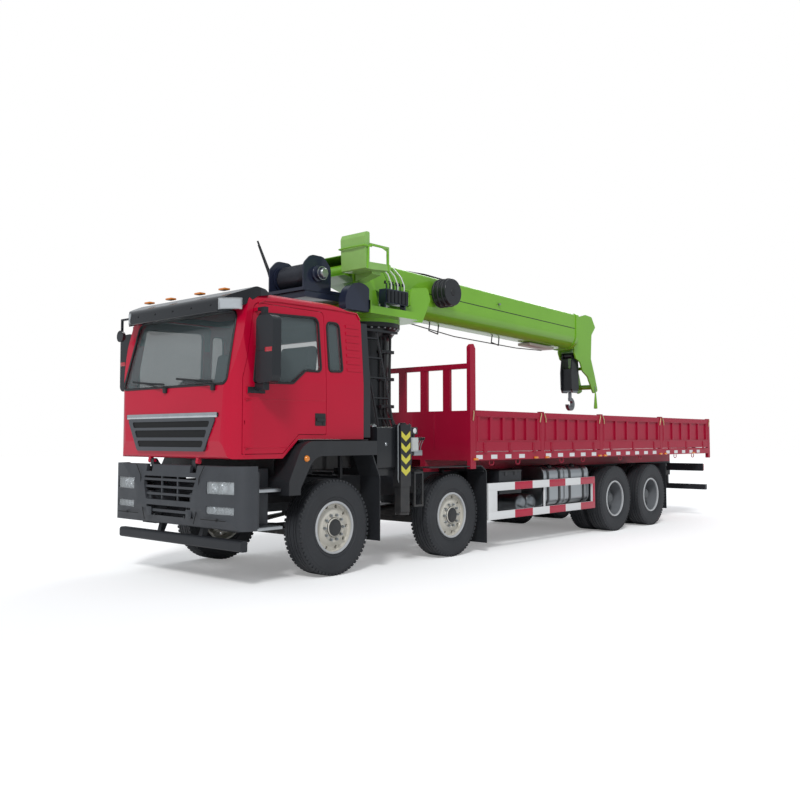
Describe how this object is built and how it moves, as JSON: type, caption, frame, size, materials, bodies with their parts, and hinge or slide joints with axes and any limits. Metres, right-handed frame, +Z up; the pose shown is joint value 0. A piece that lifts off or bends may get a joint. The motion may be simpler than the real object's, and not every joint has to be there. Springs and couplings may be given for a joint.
{
  "type": "truck crane",
  "caption": "Four-axle flatbed lorry with a straight telescopic crane on a slewing column between its cab and its drop-side bed.",
  "frame": {"origin": "centre of the bounding box's base, on the ground", "axes": "+X towards the cab's front, +Y to the vehicle's left, +Z up"},
  "size_m": [12, 2.9088, 4.095],
  "materials": {
    "cab_red": "gloss",
    "bed_red": "satin",
    "crane_green": "gloss",
    "black_steel": "satin",
    "frame_grey": "satin",
    "dark_plastic": "textured",
    "visor_plastic": "gloss",
    "tyre_rubber": "matte",
    "rim_cream": "satin",
    "rim_dark": "satin",
    "tank_metal": "brushed",
    "cast_block": "matte",
    "lamp_lens": "clear",
    "window_glass": "clear",
    "interior_grey": "matte",
    "winch_navy": "satin",
    "seat_green": "satin",
    "rod_chrome": "polished",
    "white_guard": "satin"
  },
  "bodies": {
    "chassis": {"frame_rails": "frame_grey", "axles": "black_steel", "engine_block": "cast_block", "front_bumper": "dark_plastic", "lamps": "lamp_lens", "mudguards": "dark_plastic", "tanks": "tank_metal", "guard_rails": "white_guard", "bed_frame": "bed_red", "crane_base": "black_steel"},
    "cab": {"cab_shell": "cab_red", "cab_glass": "window_glass", "cab_trim": "visor_plastic", "cab_interior": "interior_grey"},
    "door_left": {"door_left": "cab_red"},
    "door_right": {"door_right": "cab_red"},
    "turret": {"turret": "crane_green", "winch_frame": "winch_navy", "operator_seat": "seat_green"},
    "winch_drum": {"winch_drum": "winch_navy"},
    "boom_1": {"boom_base": "crane_green"},
    "boom_2": {"boom_section_2": "crane_green"},
    "boom_3": {"boom_section_3": "crane_green"},
    "boom_4": {"boom_section_4": "crane_green"},
    "lift_barrel": {"lift_barrel": "crane_green"},
    "lift_rod": {"lift_rod": "rod_chrome"},
    "hook_block": {"hook_block": "black_steel"},
    "tailgate": {"tailgate": "bed_red"},
    "knuckle_1_left": {"knuckle_1_left": "black_steel"},
    "wheel_1_left": {"tyre_1_left": "tyre_rubber", "rim_1_left": "rim_cream"},
    "knuckle_1_right": {"knuckle_1_right": "black_steel"},
    "wheel_1_right": {"tyre_1_right": "tyre_rubber", "rim_1_right": "rim_cream"},
    "knuckle_2_left": {"knuckle_2_left": "black_steel"},
    "wheel_2_left": {"tyre_2_left": "tyre_rubber", "rim_2_left": "rim_cream"},
    "knuckle_2_right": {"knuckle_2_right": "black_steel"},
    "wheel_2_right": {"tyre_2_right": "tyre_rubber", "rim_2_right": "rim_cream"},
    "wheels_3_left": {"tyres_3_left": "tyre_rubber", "rims_3_left": "rim_dark"},
    "wheels_3_right": {"tyres_3_right": "tyre_rubber", "rims_3_right": "rim_dark"},
    "wheels_4_left": {"tyres_4_left": "tyre_rubber", "rims_4_left": "rim_dark"},
    "wheels_4_right": {"tyres_4_right": "tyre_rubber", "rims_4_right": "rim_dark"},
    "gate_1_left": {"gate_1_left": "bed_red"},
    "gate_1_right": {"gate_1_right": "bed_red"},
    "gate_2_left": {"gate_2_left": "bed_red"},
    "gate_2_right": {"gate_2_right": "bed_red"},
    "gate_3_left": {"gate_3_left": "bed_red"},
    "gate_3_right": {"gate_3_right": "bed_red"},
    "gate_4_left": {"gate_4_left": "bed_red"},
    "gate_4_right": {"gate_4_right": "bed_red"},
    "outrigger_left": {"outrigger_beam_left": "black_steel"},
    "leg_left": {"outrigger_leg_left": "black_steel"},
    "outrigger_right": {"outrigger_beam_right": "black_steel"},
    "leg_right": {"outrigger_leg_right": "black_steel"}
  },
  "joints": [
    {"name": "steer_1_left", "type": "hinge", "parent": "chassis", "child": "knuckle_1_left", "pos_m": [4.55, 0.8, 0.542], "axis": [0, 0, 1], "range_deg": [-35, 35]},
    {"name": "spin_1_left", "type": "hinge", "parent": "knuckle_1_left", "child": "wheel_1_left", "pos_m": [4.55, 1.02, 0.542], "axis": [0, 1, 0], "continuous": true},
    {"name": "steer_1_right", "type": "hinge", "parent": "chassis", "child": "knuckle_1_right", "pos_m": [4.55, -0.8, 0.542], "axis": [0, 0, 1], "range_deg": [-35, 35]},
    {"name": "spin_1_right", "type": "hinge", "parent": "knuckle_1_right", "child": "wheel_1_right", "pos_m": [4.55, -1.02, 0.542], "axis": [0, 1, 0], "continuous": true},
    {"name": "steer_2_left", "type": "hinge", "parent": "chassis", "child": "knuckle_2_left", "pos_m": [2.4, 0.8, 0.542], "axis": [0, 0, 1], "range_deg": [-25.4, 25.4]},
    {"name": "spin_2_left", "type": "hinge", "parent": "knuckle_2_left", "child": "wheel_2_left", "pos_m": [2.4, 1.02, 0.542], "axis": [0, 1, 0], "continuous": true},
    {"name": "steer_2_right", "type": "hinge", "parent": "chassis", "child": "knuckle_2_right", "pos_m": [2.4, -0.8, 0.542], "axis": [0, 0, 1], "range_deg": [-25.4, 25.4]},
    {"name": "spin_2_right", "type": "hinge", "parent": "knuckle_2_right", "child": "wheel_2_right", "pos_m": [2.4, -1.02, 0.542], "axis": [0, 1, 0], "continuous": true},
    {"name": "spin_3_left", "type": "hinge", "parent": "chassis", "child": "wheels_3_left", "pos_m": [-1.95, 0.924, 0.542], "axis": [0, 1, 0], "continuous": true},
    {"name": "spin_3_right", "type": "hinge", "parent": "chassis", "child": "wheels_3_right", "pos_m": [-1.95, -0.924, 0.542], "axis": [0, 1, 0], "continuous": true},
    {"name": "spin_4_left", "type": "hinge", "parent": "chassis", "child": "wheels_4_left", "pos_m": [-3.3, 0.924, 0.542], "axis": [0, 1, 0], "continuous": true},
    {"name": "spin_4_right", "type": "hinge", "parent": "chassis", "child": "wheels_4_right", "pos_m": [-3.3, -0.924, 0.542], "axis": [0, 1, 0], "continuous": true},
    {"name": "gate_1_left_drop", "type": "hinge", "parent": "chassis", "child": "gate_1_left", "pos_m": [1.165, 1.242, 1.362], "axis": [-1, 0, 0], "range_deg": [0, 180]},
    {"name": "gate_1_right_drop", "type": "hinge", "parent": "chassis", "child": "gate_1_right", "pos_m": [1.165, -1.242, 1.362], "axis": [1, 0, 0], "range_deg": [0, 180]},
    {"name": "gate_2_left_drop", "type": "hinge", "parent": "chassis", "child": "gate_2_left", "pos_m": [-0.5925, 1.242, 1.362], "axis": [-1, 0, 0], "range_deg": [0, 180]},
    {"name": "gate_2_right_drop", "type": "hinge", "parent": "chassis", "child": "gate_2_right", "pos_m": [-0.5925, -1.242, 1.362], "axis": [1, 0, 0], "range_deg": [0, 180]},
    {"name": "gate_3_left_drop", "type": "hinge", "parent": "chassis", "child": "gate_3_left", "pos_m": [-2.6175, 1.242, 1.362], "axis": [-1, 0, 0], "range_deg": [0, 180]},
    {"name": "gate_3_right_drop", "type": "hinge", "parent": "chassis", "child": "gate_3_right", "pos_m": [-2.6175, -1.242, 1.362], "axis": [1, 0, 0], "range_deg": [0, 180]},
    {"name": "gate_4_left_drop", "type": "hinge", "parent": "chassis", "child": "gate_4_left", "pos_m": [-4.8385, 1.242, 1.362], "axis": [-1, 0, 0], "range_deg": [0, 180]},
    {"name": "gate_4_right_drop", "type": "hinge", "parent": "chassis", "child": "gate_4_right", "pos_m": [-4.8385, -1.242, 1.362], "axis": [1, 0, 0], "range_deg": [0, 180]},
    {"name": "tailgate_drop", "type": "hinge", "parent": "chassis", "child": "tailgate", "pos_m": [-5.989, 0, 1.362], "axis": [0, -1, 0], "range_deg": [0, 180]},
    {"name": "cab_tilt", "type": "hinge", "parent": "chassis", "child": "cab", "pos_m": [5.925, 0, 1.3], "axis": [0, 1, 0], "range_deg": [0, 50]},
    {"name": "door_left_open", "type": "hinge", "parent": "cab", "child": "door_left", "pos_m": [5.83, 1.112, 1.6], "axis": [0, 0, -1], "range_deg": [0, 60]},
    {"name": "door_right_open", "type": "hinge", "parent": "cab", "child": "door_right", "pos_m": [5.83, -1.112, 1.6], "axis": [0, 0, 1], "range_deg": [0, 60]},
    {"name": "outrigger_left_slide", "type": "slide", "parent": "chassis", "child": "outrigger_left", "axis": [0, 1, 0], "range_m": [0, 1.5]},
    {"name": "leg_left_down", "type": "slide", "parent": "outrigger_left", "child": "leg_left", "axis": [0, 0, -1], "range_m": [0, 0.6]},
    {"name": "outrigger_right_slide", "type": "slide", "parent": "chassis", "child": "outrigger_right", "axis": [0, -1, 0], "range_m": [0, 1.5]},
    {"name": "leg_right_down", "type": "slide", "parent": "outrigger_right", "child": "leg_right", "axis": [0, 0, -1], "range_m": [0, 0.6]},
    {"name": "slew", "type": "hinge", "parent": "chassis", "child": "turret", "pos_m": [2.82, 0, 3.11], "axis": [0, 0, 1], "continuous": true},
    {"name": "winch_turn", "type": "hinge", "parent": "turret", "child": "winch_drum", "pos_m": [4.08, 0, 3.61], "axis": [0, 1, 0], "continuous": true},
    {"name": "luff", "type": "hinge", "parent": "turret", "child": "boom_1", "pos_m": [3.45, 0, 3.76], "axis": [0, 1, 0], "range_deg": [0, 75]},
    {"name": "telescope_2", "type": "slide", "parent": "boom_1", "child": "boom_2", "axis": [-0.9996, 0, -0.0279], "range_m": [0, 3.9]},
    {"name": "telescope_3", "type": "slide", "parent": "boom_2", "child": "boom_3", "axis": [-0.9996, 0, -0.0279], "range_m": [0, 3.9]},
    {"name": "telescope_4", "type": "slide", "parent": "boom_3", "child": "boom_4", "axis": [-0.9996, 0, -0.0279], "range_m": [0, 3.9]},
    {"name": "lift_barrel_turn", "type": "hinge", "parent": "turret", "child": "lift_barrel", "pos_m": [3.4, 0, 3.3], "axis": [0, 1, 0], "range_deg": [0, 65.96]},
    {"name": "lift_rod_out", "type": "slide", "parent": "lift_barrel", "child": "lift_rod", "axis": [-0.9999, 0, -0.0168], "range_m": [0, 0.513]},
    {"name": "hook_swing", "type": "hinge", "parent": "boom_4", "child": "hook_block", "pos_m": [-2.59312, 0, 3.071], "axis": [0, 1, 0], "range_deg": [-75.5, 0]}
  ],
  "couplings": [
    {"joint": "steer_1_right", "follows": "steer_1_left", "ratio": 1},
    {"joint": "steer_2_left", "follows": "steer_1_left", "ratio": 0.72},
    {"joint": "steer_2_right", "follows": "steer_1_left", "ratio": 0.72},
    {"joint": "telescope_3", "follows": "telescope_2", "ratio": 1},
    {"joint": "telescope_4", "follows": "telescope_2", "ratio": 1},
    {"joint": "lift_barrel_turn", "follows": "luff", "ratio": 0.87284},
    {"joint": "lift_rod_out", "follows": "luff", "m_per_rad": 0.38959},
    {"joint": "hook_swing", "follows": "luff", "ratio": -1}
  ]
}
